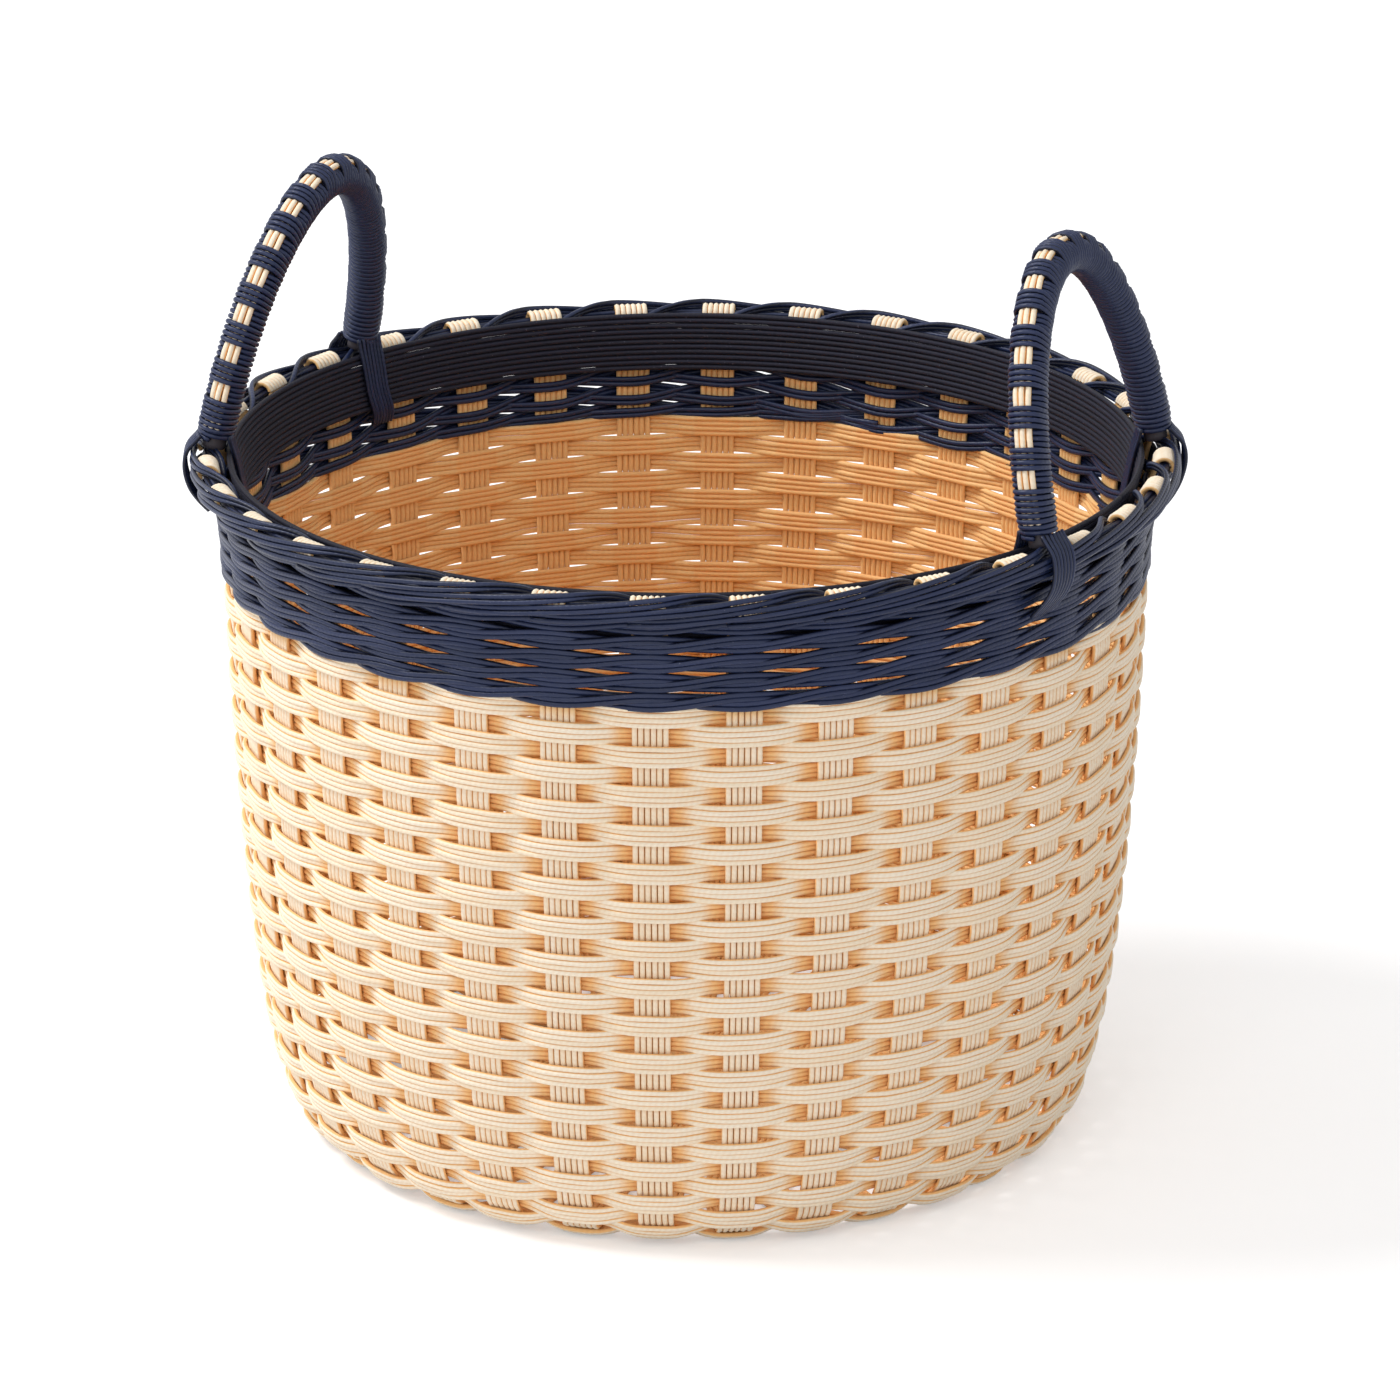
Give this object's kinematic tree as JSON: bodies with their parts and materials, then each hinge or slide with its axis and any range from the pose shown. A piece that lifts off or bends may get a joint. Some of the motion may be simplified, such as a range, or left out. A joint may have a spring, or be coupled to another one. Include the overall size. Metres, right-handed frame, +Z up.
{
  "type": "woven storage basket",
  "caption": "Round open wicker basket with a wall of flat reed ribbons woven over stakes, a dark band round the rim, and arched handles on the rim for carrying.",
  "frame": {"origin": "centre of the basket's footprint, on the surface it stands on", "axes": "+Z up the basket's axis, the two handles at +X and -X"},
  "size_m": [0.4152, 0.4152, 0.4019],
  "materials": {
    "natural_reed": "pale round reeds laid side by side as flat ribbons, satin",
    "navy_reed": "round reeds dyed dark navy, satin with pale flecks",
    "cane": "bare bent cane, mostly hidden by the binding"
  },
  "bodies": {
    "root": {"stake_strip_lower_1": "natural_reed", "stake_strip_lower_2": "natural_reed", "stake_strip_lower_3": "natural_reed", "stake_strip_lower_4": "natural_reed", "stake_strip_lower_5": "natural_reed", "stake_strip_lower_6": "natural_reed", "stake_strip_lower_7": "natural_reed", "stake_strip_lower_8": "natural_reed", "stake_strip_upper_1": "natural_reed", "stake_strip_upper_2": "natural_reed", "stake_strip_upper_3": "natural_reed", "stake_strip_upper_4": "natural_reed", "stake_strip_upper_5": "natural_reed", "stake_strip_upper_6": "natural_reed", "stake_strip_upper_7": "natural_reed", "stake_strip_upper_8": "natural_reed", "weaver_a": "natural_reed", "weaver_b": "natural_reed", "wale_strand_1": "navy_reed", "wale_strand_2": "navy_reed", "wale_strand_3": "navy_reed", "rim_cord": "navy_reed", "lining_band": "navy_reed", "border_ribbon": "navy_reed", "handle_cane_right": "cane", "handle_binding_right": "navy_reed", "handle_inlay_right": "natural_reed", "lashing_outer_right_1": "navy_reed", "lashing_inner_right_1": "navy_reed", "lashing_outer_right_2": "navy_reed", "lashing_inner_right_2": "navy_reed", "handle_cane_left": "cane", "handle_binding_left": "navy_reed", "handle_inlay_left": "natural_reed", "lashing_outer_left_1": "navy_reed", "lashing_inner_left_1": "navy_reed", "lashing_outer_left_2": "navy_reed", "lashing_inner_left_2": "navy_reed"}
  },
  "joints": []
}
